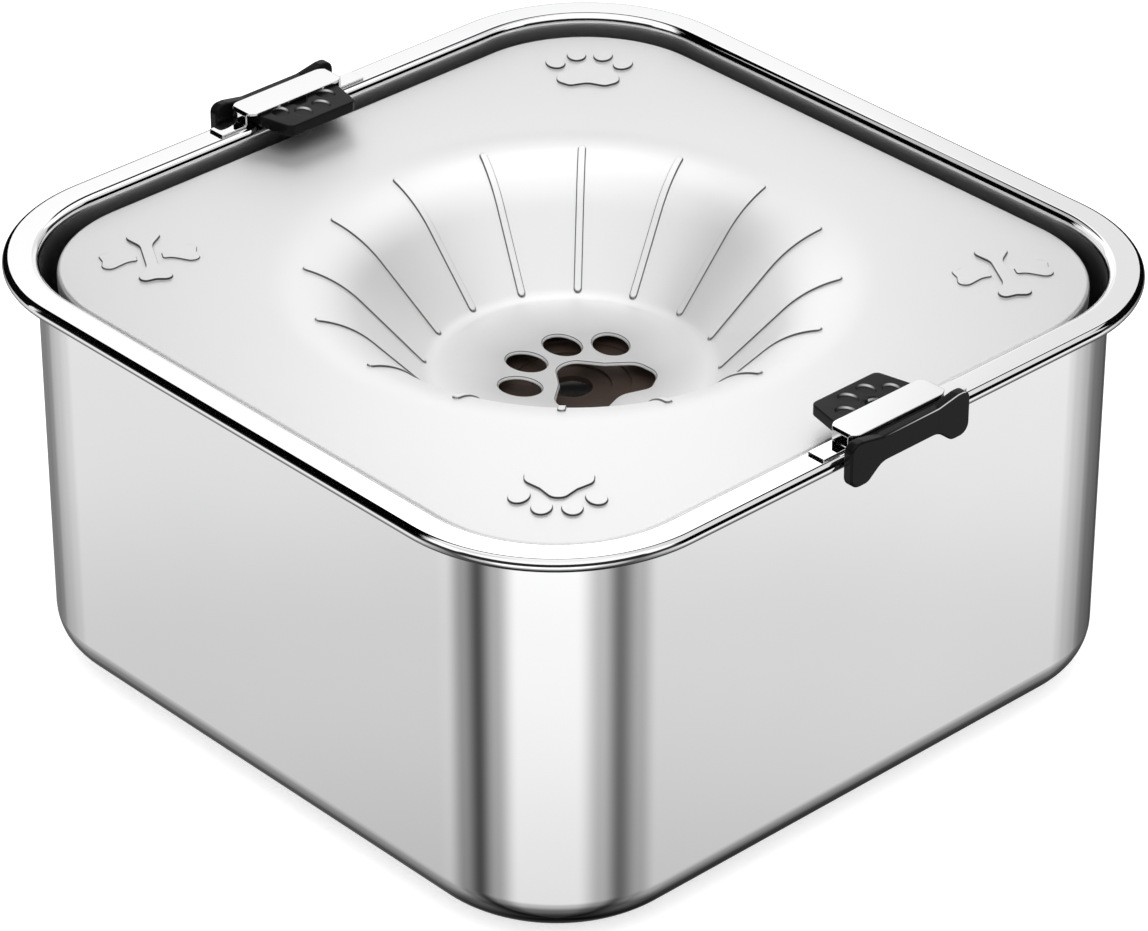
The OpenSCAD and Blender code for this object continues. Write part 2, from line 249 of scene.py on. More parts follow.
def polished_steel():
    """Bright steel with faint wheel lines, and a dull finish where its mask says so, darkened there as
    painted shade.
    """
    material, nodes, links = new_finish("polished_steel")
    shader = nodes["Principled BSDF"]
    shader.inputs["Metallic"].default_value = 1.0
    marks = nodes.new("ShaderNodeGroup")
    marks.node_tree = wheel_lines
    dull_and_shaded = own_mask(nodes, "dull_and_shaded")
    bright = tinted(
        nodes, links, marks.outputs["Clouds"], low=(0.87, 0.872, 0.88), high=(0.92, 0.922, 0.925))
    # Where the mask is set, the gloss is duller and the base colour is darkened to 0.5 as painted shade.
    links.new(mixed(nodes, links, dull_and_shaded, bright, second=(0.50, 0.50, 0.50)), shader.inputs["Base Color"])
    gloss = nodes.new("ShaderNodeMix")
    gloss.inputs["B"].default_value = 0.34
    links.new(dull_and_shaded, gloss.inputs["Factor"])
    links.new(between(nodes, links, marks.outputs["Lines"], low=0.03, high=0.06), gloss.inputs["A"])
    links.new(gloss.outputs["Result"], shader.inputs["Roughness"])
    lines = relief(nodes, links, marks.outputs["Lines"], strength=0.02, depth=0.00002)
    links.new(lines, shader.inputs["Normal"])
    return material


bright_steel = polished_steel()
carried_round = sheet_round_square()

bead = (flat_out, rim_z - bead_r)
base_bend = (-base_r, base_z + base_r)
flange_bend = (flat_in, rim_z - bend_r)
pan_outside = [
    *arc(base_bend, base_r, -90, 0, 12),
    *arc(flange_bend, bend_r - pan_sheet, 180, 90, 8),
    *arc(bead, bead_r - pan_sheet, 90, -180, 24),
    *arc(bead, bead_r, -180, 90, 36),
    *arc(flange_bend, bend_r, 90, 180, 12),
]
pan_inside = [(-pan_sheet, rim_z - bend_r - dull_drop), *arc(base_bend, base_r - pan_sheet, 0, -90, 12)]
# The inside points carry the mask of the duller finish and its painted shade.
pan_dull_and_shaded = [0.0] * len(pan_outside) + [1.0] * len(pan_inside)


def closed_at_ends(mesh):
    """Fills the open ends of a swept sheet and points its faces outwards."""
    form = bmesh.new()
    form.from_mesh(mesh)
    bmesh.ops.holes_fill(form, edges=[e for e in form.edges if e.is_boundary], sides=0)
    bmesh.ops.recalc_face_normals(form, faces=form.faces)
    form.to_mesh(mesh)
    form.free()
    return mesh


pan_mesh = closed_at_ends(grown(
    "pan_sheet", section_line("pan_section", pan_outside + pan_inside, pan_dull_and_shaded), carried_round,
    width=pan_w * MM, corner_radius=pan_corner_r * MM, corner_steps=28, finish=bright_steel))
dressed("polished_pan", shaded(pan_mesh), bright_steel, "polished_steel", "bowl", "bowl_pan")

# Base pads
# Four round rubber soles bonded under the corners of the base, each with a moulded ring groove.
# Grey silicone with a fine moulded grain.


def moulded_grain():
    """The fine even grain of a mould, and slow changes of tone over a moulding."""
    group, given, made = shader_group(
        "moulded_grain", {"Grain scale": 2600.0, "Tone scale": 60.0}, ("Grain", "Tone"))
    node, link = group.nodes.new, group.links.new
    place = node("ShaderNodeTexCoord")
    grain, tone = node("ShaderNodeTexNoise"), node("ShaderNodeTexNoise")
    grain.inputs["Detail"].default_value = 2.0
    tone.inputs["Detail"].default_value = 3.0
    for texture, scale, out in ((grain, "Grain scale", "Grain"), (tone, "Tone scale", "Tone")):
        link(place.outputs["Object"], texture.inputs["Vector"])
        link(given.outputs[scale], texture.inputs["Scale"])
        link(texture.outputs["Fac"], made.inputs[out])
    return group


mould_grain = moulded_grain()


def moulding(name, low, high, gloss, grain_scale, depth, specular=0.5, painted_highlight=None):
    """A moulded finish: its run of tone, its range of gloss, its grain and the tone of flanks painted pale
    as a highlight.
    """
    material, nodes, links = new_finish(name)
    shader = nodes["Principled BSDF"]
    shader.inputs["Specular IOR Level"].default_value = specular
    grain = nodes.new("ShaderNodeGroup")
    grain.node_tree = mould_grain
    grain.inputs["Grain scale"].default_value = grain_scale
    colour = tinted(nodes, links, grain.outputs["Tone"], low, high)
    if painted_highlight:
        colour = mixed(nodes, links, own_mask(nodes, "flank"), colour, painted_highlight)
    links.new(colour, shader.inputs["Base Color"])
    links.new(between(nodes, links, grain.outputs["Grain"], *gloss), shader.inputs["Roughness"])
    fine = relief(nodes, links, grain.outputs["Grain"], strength=0.25, depth=depth)
    links.new(fine, shader.inputs["Normal"])
    return material


def finish_node(name, finish):
    """Gives a CAD node its finish."""
    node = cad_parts[name]
    node.data.materials.clear()
    node.data.materials.append(finish)


rubber_grain = {"grain_scale": 1800.0, "depth": 0.00004}
grey_rubber = moulding(
    "grey_rubber", low=(0.16, 0.16, 0.165), high=(0.22, 0.22, 0.225), gloss=(0.55, 0.75), **rubber_grain)
for number in range(1, 5):
    finish_node(f"base_pad_{number}", grey_rubber)

# Clip bridges
# A stamped stainless strap on each side, bent into a low bridge that the lock runs under.
# Its two feet are welded to the flange; its edges are tumbled round and it is polished like the pan.

bridge_t, bridge_gap, bridge_len = 0.8, 3.9, 37.0
bridge_w, bridge_corner_r, bridge_bend_r = 10.0, 3.6, 1.0
foot_len, foot_w = 9.0, 6.0
bridge_x = pan_w / 2 + (flat_in + flat_out) / 2
bridge_edge_r, before_corner = 0.2, 0.2


def strap_half_width(y):
    """Half the strap's width at a distance along the rim, with the roof's corners rounded."""
    into = max(0.0, abs(y) - (bridge_len / 2 - bridge_corner_r))
    roof = bridge_w / 2 - bridge_corner_r + math.sqrt(max(0.0, bridge_corner_r**2 - into**2))
    return max(foot_w / 2, roof) if into < bridge_corner_r else foot_w / 2


def strap_line():
    """The strap's middle line from one foot to the other, as distance along the rim and height."""
    half, r, mid = bridge_len / 2, bridge_bend_r - bridge_t / 2, bridge_t / 2
    inner_r = bridge_bend_r - bridge_t
    roof_z = bridge_gap + bridge_t
    turn_in, corner_in = half - bridge_bend_r, half - bridge_corner_r - before_corner
    side = [(half + foot_len, mid)]
    side += arc((half + inner_r, bridge_bend_r), r, 270, 180, 8)
    side += arc((turn_in, roof_z - bridge_bend_r), r, 0, 90, 10)
    side += [(y, bridge_gap + mid) for y in np.linspace(turn_in, corner_in, 8)[1:]]
    return side + [(-y, z) for y, z in reversed(side)]


def strap_mesh():
    """The strap as a bent sheet with tumbled edges."""
    line = strap_line()
    mesh = bpy.data.meshes.new("strap")
    points = [
        ((bridge_x + side * strap_half_width(y)) * MM, y * MM, (rim_z + z) * MM)
        for y, z in line for side in (-1, 1)
    ]
    mesh.from_pydata(points, [], [(2 * i, 2 * i + 1, 2 * i + 3, 2 * i + 2) for i in range(len(line) - 1)])
    source = added("strap", mesh)
    sheet = source.modifiers.new("sheet", "SOLIDIFY")
    sheet.thickness, sheet.offset, sheet.use_even_offset = bridge_t * MM, 0.0, True
    edges = source.modifiers.new("tumbled_edges", "BEVEL")
    edges.width, edges.segments, edges.limit_method = bridge_edge_r * MM, 3, "ANGLE"
    edges.angle_limit = math.radians(40)
    return shaded(evaluated(source), angle=40)


def turned_half(mesh):
    """The same piece on the other side of the bowl."""
    other = mesh.copy()
    other.transform(Matrix.Rotation(math.pi, 4, "Z"))
    return other


right_strap = strap_mesh()
dressed("strap_right", right_strap, bright_steel, "polished_steel", "bowl", "clip_bridge_right")
dressed("strap_left", turned_half(right_strap), bright_steel, "polished_steel", "bowl", "clip_bridge_left")

# Stop studs
# A short steel stud welded to the flange under each bridge. It runs in a groove under the lock and
# keeps the lock from being pulled out.

for side in ("right", "left"):
    finish_node(f"stop_stud_{side}", bright_steel)

# Lock slides
# Two black mouldings: a tongue over the plate with a sunk paw print, a neck under the bridge and a
# bone-shaped grip outside the rim. Their edges are rounded in the mould. A fine line at the grip and
# flanks of the print are painted pale as highlights.

float_w = 232.0
slide_gap, slide_t, slide_edge_r = 0.2, 3.5, 0.45
slide_z = rim_z + slide_gap
slide_top_z = slide_z + slide_t
tongue_cover, tongue_tip_w, tongue_r = 8.0, 25.0, 2.2
neck_w, neck_r, root_gap = 30.0, 0.8, 1.0
tongue_tip = float_w / 2 - tongue_cover
tongue_root = bridge_x - bridge_w / 2 - root_gap
grip_gap, grip_t, grip_len, grip_edge_r = 0.5, 3.2, 45.4, 0.6
grip_x = pan_w / 2 + flange_w + grip_gap
grip_waist_h, grip_waist_len, grip_waist_r = 7.9, 21.5, 6.0
grip_rise, knob_top_len, knob_top_r, knob_shoulder_r = 1.4, 4.6, 2.8, 1.6
grip_fall, knob_foot_len, knob_foot_r = 4.3, 6.6, 3.4
print_depth, print_scale, print_inset, print_flank = 0.6, 0.49, 11.0, 0.5
stud_r, stud_h, lock_travel, groove_flank = 1.7, 1.4, 12.0, 0.2

# Flanks of the print that face this way or straight back, in degrees, are painted pale as a highlight.
painted_highlight_way = 125


def rounded(corners, steps=6):
    """An outline of corners (x, y, radius), each rounded by its own radius."""
    outline = []
    for i, (x, y, r) in enumerate(corners):
        b = np.array((x, y))
        u, w = np.array(corners[i - 1][:2]) - b, np.array(corners[(i + 1) % len(corners)][:2]) - b
        u, w = u / np.linalg.norm(u), w / np.linalg.norm(w)
        half = math.acos(float(u @ w)) / 2
        centre = b + (u + w) / np.linalg.norm(u + w) * r / math.sin(half)
        first, last = b + u * r / math.tan(half) - centre, b + w * r / math.tan(half) - centre
        start = math.atan2(first[1], first[0])
        turn = math.atan2(first[0] * last[1] - first[1] * last[0], float(first @ last))
        angles = [start + turn * k / steps for k in range(steps + 1)]
        outline += [(centre[0] + r * math.cos(a), centre[1] + r * math.sin(a)) for a in angles]
    return outline


def oval(a, b, steps=28):
    """An oval outline of two half widths."""
    angles = [2 * math.pi * k / steps for k in range(steps)]
    return [(a * math.cos(t), b * math.sin(t)) for t in angles]


def placed(outline, scale=1.0, turn=0.0, at=(0.0, 0.0)):
    """An outline scaled, turned by degrees and moved."""
    c, s = scale * math.cos(math.radians(turn)), scale * math.sin(math.radians(turn))
    return [(at[0] + c * x - s * y, at[1] + s * x + c * y) for x, y in outline]


def paw():
    """The outlines of a paw with its toes towards +X: a pad and four toes."""
    half_pad = [
        (3.5, 3.0, 5.2), (-4.2, 8.6, 4.0), (-10.2, 16.1, 5.5), (-18.5, 16.4, 5.5), (-23.0, 9.2, 4.0),
    ]
    below = [(x, -y, r) for x, y, r in reversed(half_pad)]
    outlines = [rounded([*half_pad, (-19.7, 0.0, 8.0), *below], 8)]
    toe = oval(6.5, 5.0)
    for side in (-1, 1):
        outlines.append(placed(toe, turn=side * 6, at=(11.8, side * 7.0)))
        outlines.append(placed(toe, turn=side * 19, at=(2.7, side * 17.7)))
    return outlines


def grown_outline(outline, by):
    """An outline moved outwards by a distance, or inwards by a negative one."""
    p = np.array(outline)
    edge = np.roll(p, -1, 0) - p
    edge /= np.linalg.norm(edge, axis=1)[:, None]
    out = np.stack((edge[:, 1], -edge[:, 0]), 1)
    before = np.roll(out, 1, 0)
    return p + by * (out + before) / (1 + (out * before).sum(1))[:, None]


def as_built(x, y, z):
    """A point in metres from a place in millimetres."""
    return Vector((x, y, z)) * MM


def ring(form, outline, z, place=as_built):
    """The points of an outline at a height."""
    return [form.verts.new(place(x, y, z)) for x, y in outline]


def walled(form, rings):
    """Faces between rings of equal count."""
    for low, high in zip(rings, rings[1:]):
        for i in range(len(low)):
            form.faces.new((low[i - 1], low[i], high[i], high[i - 1]))


def odd_crossings(points, edges):
    """Which points lie inside an odd number of the rings that the edges make up."""
    (x0, y0), (x1, y1) = edges[:, 0].T, edges[:, 1].T
    x, y = points[:, :1], points[:, 1:]
    spans = (y0 > y) != (y1 > y)
    rise = np.where(y1 == y0, 1.0, y1 - y0)
    return (spans & (x < x0 + (y - y0) / rise * (x1 - x0))).sum(1) % 2 == 1


def filled(form, rings, flat=(0, 1)):
    """A flat face inside the first ring and outside the others; flat names the two axes that it spans."""
    verts = [v for r in rings for v in r]
    edges, first = [], 0
    for r in rings:
        edges += [(first + i, first + (i + 1) % len(r)) for i in range(len(r))]
        first += len(r)
    spots = [Vector((v.co[flat[0]], v.co[flat[1]])) / MM for v in verts]
    found = delaunay_2d_cdt(spots, edges, [], 1, 1e-6)
    triangles = np.array([[found[3][i][0] for i in t] for t in found[2]])
    places = np.array(spots)
    kept = odd_crossings(places[triangles].mean(1), places[np.array(edges)])
    for triangle in triangles[kept]:
        form.faces.new([verts[i] for i in triangle])


def embossed(form, outline, level, height, flank, place=as_built, flat=(0, 1), steps=6):
    """A raised or sunk field with softly rounded flanks; gives the ring where it leaves the surface."""
    share = np.linspace(0, 1, steps + 1)
    rings = []
    for t in share:
        rise = height * (1 - math.cos(math.pi * t)) / 2
        rings.append(ring(form, grown_outline(outline, flank * (0.5 - t)), level + rise, place))
    walled(form, rings)
    filled(form, [rings[-1]], flat)
    # The flanks carry the mask of painted light: painted shade on the plate, painted highlights on the
    # lock.
    painted_light = form.verts.layers.float["flank"]
    for t, points in zip(share, rings):
        for point in points:
            point[painted_light] = math.sin(math.pi * t)
    return rings[0]


def slab(form, outline, low, high, edge_r, place=as_built, flat=(0, 1), sunk_low=(), sunk_high=(), steps=4):
    """A plate of an outline with rounded edges, and fields (outline, depth, flank) sunk into its faces."""
    bends = [math.radians(90 * k / steps) for k in range(steps + 1)]
    levels = [(edge_r * (1 - math.sin(a)), low + edge_r * (1 - math.cos(a))) for a in bends]
    levels += [(edge_r * (1 - math.sin(a)), high - edge_r * (1 - math.cos(a))) for a in reversed(bends)]
    rings = [ring(form, grown_outline(outline, -inset), z, place) for inset, z in levels]
    walled(form, rings)
    floor = [embossed(form, field, low, depth, flank, place, flat) for field, depth, flank in sunk_low]
    roof = [embossed(form, field, high, -depth, flank, place, flat) for field, depth, flank in sunk_high]
    filled(form, [rings[0], *floor], flat)
    filled(form, [rings[-1], *roof], flat)


def solid_mesh(name, build):
    """The closed mesh that a function builds, with its faces pointing outwards."""
    form = bmesh.new()
    # Each point carries a mask of painted light on flanks: painted shade on the plate, painted highlights
    # on the lock.
    form.verts.layers.float.new("flank")
    build(form)
    bmesh.ops.recalc_face_normals(form, faces=form.faces)
    mesh = bpy.data.meshes.new(name)
    form.to_mesh(mesh)
    form.free()
    return mesh


def tongue_and_neck(form):
    """The tongue with its sunk print, and the neck with the groove for the stud."""
    back = grip_x + slide_edge_r
    outline = rounded([
        (tongue_tip, -tongue_tip_w / 2, tongue_r), (tongue_root, -neck_w / 2, tongue_r),
        (back, -neck_w / 2, neck_r), (back, neck_w / 2, neck_r),
        (tongue_root, neck_w / 2, tongue_r), (tongue_tip, tongue_tip_w / 2, tongue_r),
    ])
    prints = [placed(o, print_scale, 180, (tongue_tip + print_inset, 0)) for o in paw()]
    groove = arc((bridge_x, 0), stud_r, -90, 90, 10) + arc((bridge_x - lock_travel, 0), stud_r, 90, 270, 10)
    slab(form, outline, slide_z, slide_top_z, slide_edge_r,
         sunk_low=[(groove, stud_h, groove_flank)],
         sunk_high=[(o, print_depth, print_flank) for o in prints])
    painted_light = form.verts.layers.float["flank"]
    middles = [np.mean(o, 0) for o in prints]
    for point in form.verts:
        if point[painted_light]:
            x, y, _ = point.co / MM
            nearest = min(middles, key=lambda m: math.hypot(x - m[0], y - m[1]))
            around_it = math.atan2(y - nearest[1], x - nearest[0])
            # Only flanks facing that way keep the painted highlight.
            point[painted_light] *= math.cos(around_it - math.radians(painted_highlight_way)) ** 4


def grip(form):
    """The bone-shaped grip, with a fine painted highlight line on one of its knobs."""
    top, half, waist = grip_waist_h + grip_rise, grip_len / 2, grip_waist_len / 2
    right = [
        (waist, 0, grip_waist_r), (half - knob_foot_len, -grip_fall, knob_foot_r),
        (half, -grip_fall, knob_foot_r), (half, top, knob_top_r),
        (half - knob_top_len, top, knob_shoulder_r), (waist, grip_waist_h, grip_waist_r),
    ]
    left = [(-x, y, r) for x, y, r in reversed(right)]
    slab(form, rounded(right + left, 8), grip_x, grip_x + grip_t, grip_edge_r,
         lambda u, v, w: as_built(w, u, slide_top_z - grip_waist_h + v), (1, 2))
    # The painted highlight line lies on the rounded front edge, along the top of the knob at +Y.
    highlight_x, highlight_low = grip_x + grip_t - grip_edge_r * (1 - math.cos(math.pi / 4)), slide_top_z - 1
    highlight_start, highlight_end = waist - 1, half - 1.5
    painted_light = form.verts.layers.float["flank"]
    for point in form.verts:
        x, y, z = point.co / MM
        if abs(x - highlight_x) < 0.02 and highlight_start < y < highlight_end and z > highlight_low:
            point[painted_light] = 1.0


def joined(name, mesh, other):
    """Two closed meshes as one solid."""
    pair = [added(name, mesh), added(name + "_other", other)]
    union = pair[0].modifiers.new("joined", "BOOLEAN")
    union.operation, union.solver, union.object = "UNION", "EXACT", pair[1]
    made = evaluated(pair[0])
    bpy.data.objects.remove(pair[1])
    # The mask of painted highlights is carried over from both halves by place.
    places = {}
    for half in (mesh, other):
        marks = half.attributes["flank"].data
        places |= {tuple(np.round(v.co / MM, 3)): mark.value for v, mark in zip(half.vertices, marks)}
    made.attributes.remove(made.attributes["flank"])
    return masked(made, "flank", [places.get(tuple(np.round(v.co / MM, 3)), 0.0) for v in made.vertices])


# Flanks and lines that the mask marks are painted pale as highlights.
black_plastic = moulding(
    "black_plastic", low=(0.004, 0.004, 0.0044), high=(0.007, 0.007, 0.0074), gloss=(0.20, 0.28),
    grain_scale=2200.0, depth=0.00002, specular=0.1, painted_highlight=(0.75, 0.75, 0.75))
tongue_mesh, grip_mesh = solid_mesh("tongue", tongue_and_neck), solid_mesh("grip", grip)
right_slide = shaded(joined("slide", tongue_mesh, grip_mesh), angle=32)
dressed("slide_right", right_slide, black_plastic, "black_plastic", "lock_right", "lock_slide_right")
left_slide = turned_half(right_slide)
dressed("slide_left", left_slide, black_plastic, "black_plastic", "lock_left", "lock_slide_left")

# Float plate
# A satin stainless pressing: a flat plate with a drawn drinking dish, radial ribs, raised paws and
# crossed bones in its corners and a paw of water holes in the floor. Its edge is turned down and
# hemmed over the tub.

plate_drop, plate_sheet, plate_corner_r = 4.5, 1.0, 42.3
edge_r, hem_r, hem_w, skirt_h = 1.2, 1.6, 3.6, 6.5
dish_depth, dish_floor_r, slope_degrees = 32.6, 38.6, 48
dish_slope = math.radians(slope_degrees)
lip_r, dish_fillet_r, hole_coin = 35.0, 6.0, 0.5
rib_count, rib_w, rib_h, rib_in_r, rib_out_r, rib_flank = 16, 2.6, 0.7, 41.7, 76.8, 0.45
mark_h, under_bone_h, mark_flank = 0.7, 0.45, 0.3
paw_mark_scale, bone_turn, under_bone_gap = 0.58, -30, 3.7
paw_places = (((86.7, -85.3), -45), ((-88.6, 89.0), 135))
bone_places = ((84.5, 88.1), (-86.9, -83.6))
plate_z = rim_z - plate_drop
dish_z = plate_z - dish_depth
slope_drop = dish_depth - (lip_r + dish_fillet_r) * (1 - math.cos(dish_slope))
lip_x = dish_floor_r + (lip_r + dish_fillet_r) * math.sin(dish_slope) + slope_drop / math.tan(dish_slope)
fillet_end = dish_floor_r + dish_fillet_r * math.sin(dish_slope)
lip_start = lip_x - lip_r * math.sin(dish_slope)
outside_dish, merge_gap, edge_match = lip_x + 2, 1e-5, 2e-5
under_steps = 96

# The coined edge of a water hole: how far out and how deep each ring lies, and how much painted shade it
# gets.
coined_edge = (
    (hole_coin, 0.0, 0.3), (0.92 * hole_coin, 0.03, 0.9), (0.75 * hole_coin, 0.16, 0.9),
    (0.6 * hole_coin, 0.25, 0.2), (0.1 * hole_coin, 0.7, 0.2), (0.0, 0.8, 0.4), (0.0, plate_sheet, 0.6),
)


def dish_height(r):
    """Height of the dish's upper face at a distance from the middle."""
    if r < dish_floor_r:
        return dish_z
    if r < fillet_end:
        return dish_z + dish_fillet_r - math.sqrt(dish_fillet_r**2 - (r - dish_floor_r) ** 2)
    if r < lip_start:
        return dish_z + dish_fillet_r * (1 - math.cos(dish_slope)) + (r - fillet_end) * math.tan(dish_slope)
    return plate_z - lip_r + math.sqrt(lip_r**2 - (min(r, lip_x) - lip_x) ** 2)


def rib_rise(r, across):
    """The share of a rib's height at a distance from the middle and from its own middle line."""
    beyond = max(rib_in_r + rib_w / 2 - r, r - rib_out_r + rib_w / 2, 0.0)
    inside = rib_w / 2 - math.hypot(beyond, across)
    t = min(1.0, max(0.0, inside / rib_flank))
    return t * t * (3 - 2 * t)


def dish_sector():
    """One sixteenth of the dish, with the rib that is pressed along its middle.

    The columns are distances from the rib's middle line, close together on its flank, and the gaps are
    the steps from there to the edge of the sector.
    """
    columns = [0.0, 0.5, 0.8, 0.9, 1.0, 1.1, 1.2, 1.3, 1.4]
    gaps = 6
    half = math.pi / rib_count
    rib_from, rib_to = rib_in_r + rib_w / 2, rib_out_r - rib_w / 2
    radii = sorted({
        *np.linspace(dish_floor_r, rib_in_r, 7), *np.linspace(rib_in_r, rib_from, 12),
        *np.linspace(rib_from, lip_start, 10), *np.linspace(lip_start, rib_to, 12),
        *np.linspace(rib_to, rib_out_r, 12), *np.linspace(rib_out_r, lip_x, 8),
    })
    points, faces, painted_light = [], [], []
    for r in radii:
        angles = [math.asin(x / r) for x in columns]
        angles += list(np.linspace(angles[-1], half, gaps + 1))[1:]
        for a in [-a for a in reversed(angles[1:])] + angles:
            across = r * math.sin(a)
            rise = rib_rise(r * math.cos(a), across)
            points.append(as_built(r * math.cos(a), across, dish_height(r) + rib_h * rise))
            # The rib's flanks carry the mask of painted shade.
            painted_light.append(4 * rise * (1 - rise))
    wide = 2 * (len(columns) + gaps) - 1
    for i in range(len(radii) - 1):
        for j in range(wide - 1):
            k = i * wide + j
            faces.append((k, k + wide, k + wide + 1, k + 1))
    mesh = bpy.data.meshes.new("dish_sector")
    mesh.from_pydata(points, [], faces)
    return masked(mesh, "flank", painted_light)


def pressed_round():
    """The tree that repeats one pressed sector round the middle and merges the seams."""
    tree = bpy.data.node_groups.new("pressed_round", "GeometryNodeTree")
    tree_input(tree, "Sector", "NodeSocketGeometry")
    tree_input(tree, "Ribs", "NodeSocketInt")
    tree_input(tree, "Seam", "NodeSocketFloat")
    tree_input(tree, "Finish", "NodeSocketMaterial")
    tree.interface.new_socket("Dish", in_out="OUTPUT", socket_type="NodeSocketGeometry")
    node, link = tree.nodes.new, tree.links.new
    given, made = node("NodeGroupInput"), node("NodeGroupOutput")
    middle, number = node("GeometryNodePoints"), node("GeometryNodeInputIndex")
    step, angle = node("ShaderNodeMath"), node("ShaderNodeMath")
    step.operation, angle.operation = "DIVIDE", "MULTIPLY"
    step.inputs[0].default_value = 2 * math.pi
    turn, repeat = node("ShaderNodeCombineXYZ"), node("GeometryNodeInstanceOnPoints")
    whole, seams = node("GeometryNodeRealizeInstances"), node("GeometryNodeMergeByDistance")
    finish = node("GeometryNodeSetMaterial")
    link(given.outputs["Ribs"], middle.inputs["Count"])
    link(given.outputs["Ribs"], step.inputs[1])
    link(step.outputs["Value"], angle.inputs[0])
    link(number.outputs["Index"], angle.inputs[1])
    link(angle.outputs["Value"], turn.inputs["Z"])
    link(middle.outputs["Points"], repeat.inputs["Points"])
    link(given.outputs["Sector"], repeat.inputs["Instance"])
    link(turn.outputs["Vector"], repeat.inputs["Rotation"])
    link(repeat.outputs["Instances"], whole.inputs["Geometry"])
    link(whole.outputs["Geometry"], seams.inputs["Geometry"])
    link(given.outputs["Seam"], seams.inputs["Distance"])
    link(seams.outputs["Geometry"], finish.inputs["Geometry"])
    link(given.outputs["Finish"], finish.inputs["Material"])
    link(finish.outputs["Geometry"], made.inputs["Dish"])
    return tree


def bone_end(shaft_from):
    """The outline of a bone from a place on its shaft to its two knobs, towards +X."""
    shaft, end_r = 1.75, 0.7
    below = [(6.3, -shaft, 5.0), (11.2, -4.9, 2.5), (14.5, -4.5, 2.0)]
    above = [(x, -y, r) for x, y, r in reversed(below)]
    return [(shaft_from, -shaft, end_r), *below, (13.5, 0.0, 1.5), *above, (shaft_from, shaft, end_r)]


def corner_marks():
    """Outlines and heights of the marks: paws in two corners, crossed bones in the others."""
    marks = []
    whole_end = bone_end(0)[1:-1]
    whole_bone = rounded(whole_end + [(-x, -y, r) for x, y, r in whole_end])
    arm = rounded(bone_end(under_bone_gap))
    for at, turn in paw_places:
        marks += [(placed(outline, paw_mark_scale, turn, at), mark_h) for outline in paw()]
    for at in bone_places:
        marks.append((placed(whole_bone, 1, bone_turn, at), mark_h))
        marks += [(placed(arm, 1, bone_turn + end, at), under_bone_h) for end in (90, 270)]
    return marks


def open_edges(form, z):
    """The vertices of the open edges at a height, in order round the middle."""
    found = [v for v in form.verts if v.is_boundary and abs(v.co.z - z * MM) < edge_match]
    return sorted(found, key=lambda v: math.atan2(v.co.y, v.co.x))


def circle_of(form, r, z):
    """The dish's open edge at a radius and a height."""
    return [v for v in open_edges(form, z) if abs(math.hypot(v.co.x, v.co.y) - r * MM) < edge_match]


def open_loop(form, z):
    """The swept hem's open edge at a height."""
    return [v for v in open_edges(form, z) if max(abs(v.co.x), abs(v.co.y)) > outside_dish * MM]


def water_hole(form, outline):
    """A hole in the dish's floor with its coined edge; gives its upper and its lower ring."""
    rings = [ring(form, grown_outline(outline, wider), dish_z - deep) for wider, deep, _ in coined_edge]
    painted_light = form.verts.layers.float["flank"]
    # The rings of the coined edge carry painted shade.
    for points, (_, _, painted_shade_share) in zip(rings, coined_edge):
        for point in points:
            point[painted_light] = painted_shade_share
    walled(form, rings)
    return rings[0], rings[-1]


def satin_steel():
    """Satin steel with a fine grain, with painted shade on the flanks of what is pressed into it."""
    material, nodes, links = new_finish("satin_steel")
    shader = nodes["Principled BSDF"]
    shader.inputs["Metallic"].default_value = 1.0
    marks, grain = nodes.new("ShaderNodeGroup"), nodes.new("ShaderNodeGroup")
    marks.node_tree, grain.node_tree = wheel_lines, mould_grain
    grain.inputs["Grain scale"].default_value = 3200.0
    brushed = tinted(
        nodes, links, marks.outputs["Clouds"], low=(0.94, 0.94, 0.94), high=(0.97, 0.97, 0.968))
    # The flanks that the mask marks are painted near black as shade.
    with_painted_shade = mixed(nodes, links, own_mask(nodes, "flank"), brushed, second=(0.03, 0.03, 0.03))
    links.new(with_painted_shade, shader.inputs["Base Color"])
    gloss = between(nodes, links, grain.outputs["Grain"], low=0.46, high=0.53)
    links.new(gloss, shader.inputs["Roughness"])
    fine = relief(nodes, links, grain.outputs["Grain"], strength=0.15, depth=0.00002)
    links.new(fine, shader.inputs["Normal"])
    return material


soft_steel = satin_steel()
hem_z = plate_z - skirt_h
edge_bend, hem_bend = (-edge_r, plate_z - edge_r), (-hem_r, hem_z + hem_r)
hem_section = [
    *arc(edge_bend, edge_r, 90, 0, 10), *arc(hem_bend, hem_r, 0, -90, 8),
    (-plate_sheet - hem_w, hem_z), (-plate_sheet - hem_w, hem_z + plate_sheet),
    *arc(hem_bend, hem_r - plate_sheet, -90, 0, 6), *arc(edge_bend, edge_r - plate_sheet, 0, 90, 8),
]


